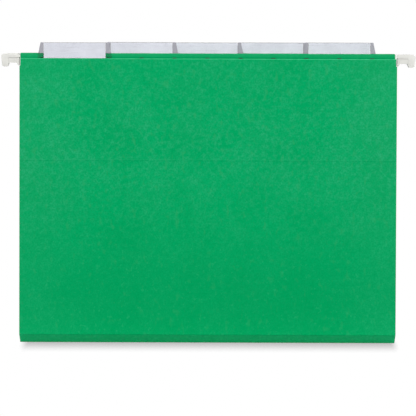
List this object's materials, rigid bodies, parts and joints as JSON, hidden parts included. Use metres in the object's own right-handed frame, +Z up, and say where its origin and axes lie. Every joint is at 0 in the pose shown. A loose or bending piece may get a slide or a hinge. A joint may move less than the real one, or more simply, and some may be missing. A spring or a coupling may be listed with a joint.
{
  "type": "hanging file folder",
  "caption": "Card hanging file folder with hemmed top edges over steel rods, hooked tips for drawer rails, and clear index tabs with label inserts.",
  "frame": {"origin": "midway between the four hook seats, at the height of the rails", "axes": "+X to the right seen from the front, front faces -Y, +Z up"},
  "size_m": [0.3272, 0.0162, 0.2388],
  "materials": {
    "card": "matte fibrous card",
    "glue": "dried glue",
    "rod": "rolled strip",
    "tip": "satin moulding",
    "vinyl": "clear vinyl",
    "insert": "plain white paper"
  },
  "bodies": {
    "rear_leaf": {"rear_panel": "card", "rear_hem_glue": "glue", "rear_hanger_rod": "rod", "rear_left_hook_tip": "tip", "rear_right_hook_tip": "tip"},
    "rear_bottom": {"rear_bottom_strip": "card"},
    "front_leaf": {"front_panel": "card", "front_hem_glue": "glue", "front_hanger_rod": "rod", "front_left_hook_tip": "tip", "front_right_hook_tip": "tip"},
    "front_bottom": {"front_bottom_strip": "card"},
    "far_left_tab": {"tab_far_left": "vinyl"},
    "far_left_label": {"label_insert_far_left": "insert"},
    "left_tab": {"tab_left": "vinyl"},
    "left_label": {"label_insert_left": "insert"},
    "centre_tab": {"tab_centre": "vinyl"},
    "centre_label": {"label_insert_centre": "insert"},
    "right_tab": {"tab_right": "vinyl"},
    "right_label": {"label_insert_right": "insert"},
    "far_right_tab": {"tab_far_right": "vinyl"},
    "far_right_label": {"label_insert_far_right": "insert"}
  },
  "joints": [
    {"name": "rear_score", "type": "hinge", "parent": "rear_leaf", "child": "rear_bottom", "pos_m": [0, 0.00785, -0.2149], "axis": [1, 0, 0], "range_deg": [0, 48]},
    {"name": "bottom_fold", "type": "hinge", "parent": "rear_bottom", "child": "front_bottom", "pos_m": [0, 0, -0.22195], "axis": [1, 0, 0], "range_deg": [0, 83.8]},
    {"name": "front_score", "type": "hinge", "parent": "front_bottom", "child": "front_leaf", "pos_m": [0, -0.00785, -0.2149], "axis": [1, 0, 0], "range_deg": [0, 48]},
    {"name": "far_left_tab_lift", "type": "slide", "parent": "front_leaf", "child": "far_left_tab", "axis": [0, 0, 1], "range_m": [0, 0.016]},
    {"name": "far_left_label_slide", "type": "slide", "parent": "far_left_tab", "child": "far_left_label", "axis": [1, 0, 0], "range_m": [0, 0.055]},
    {"name": "left_tab_lift", "type": "slide", "parent": "front_leaf", "child": "left_tab", "axis": [0, 0, 1], "range_m": [0, 0.016]},
    {"name": "left_label_slide", "type": "slide", "parent": "left_tab", "child": "left_label", "axis": [1, 0, 0], "range_m": [0, 0.055]},
    {"name": "centre_tab_lift", "type": "slide", "parent": "rear_leaf", "child": "centre_tab", "axis": [0, 0, 1], "range_m": [0, 0.016]},
    {"name": "centre_label_slide", "type": "slide", "parent": "centre_tab", "child": "centre_label", "axis": [-1, 0, 0], "range_m": [0, 0.055]},
    {"name": "right_tab_lift", "type": "slide", "parent": "rear_leaf", "child": "right_tab", "axis": [0, 0, 1], "range_m": [0, 0.016]},
    {"name": "right_label_slide", "type": "slide", "parent": "right_tab", "child": "right_label", "axis": [1, 0, 0], "range_m": [0, 0.055]},
    {"name": "far_right_tab_lift", "type": "slide", "parent": "rear_leaf", "child": "far_right_tab", "axis": [0, 0, 1], "range_m": [0, 0.016]},
    {"name": "far_right_label_slide", "type": "slide", "parent": "far_right_tab", "child": "far_right_label", "axis": [1, 0, 0], "range_m": [0, 0.055]}
  ]
}
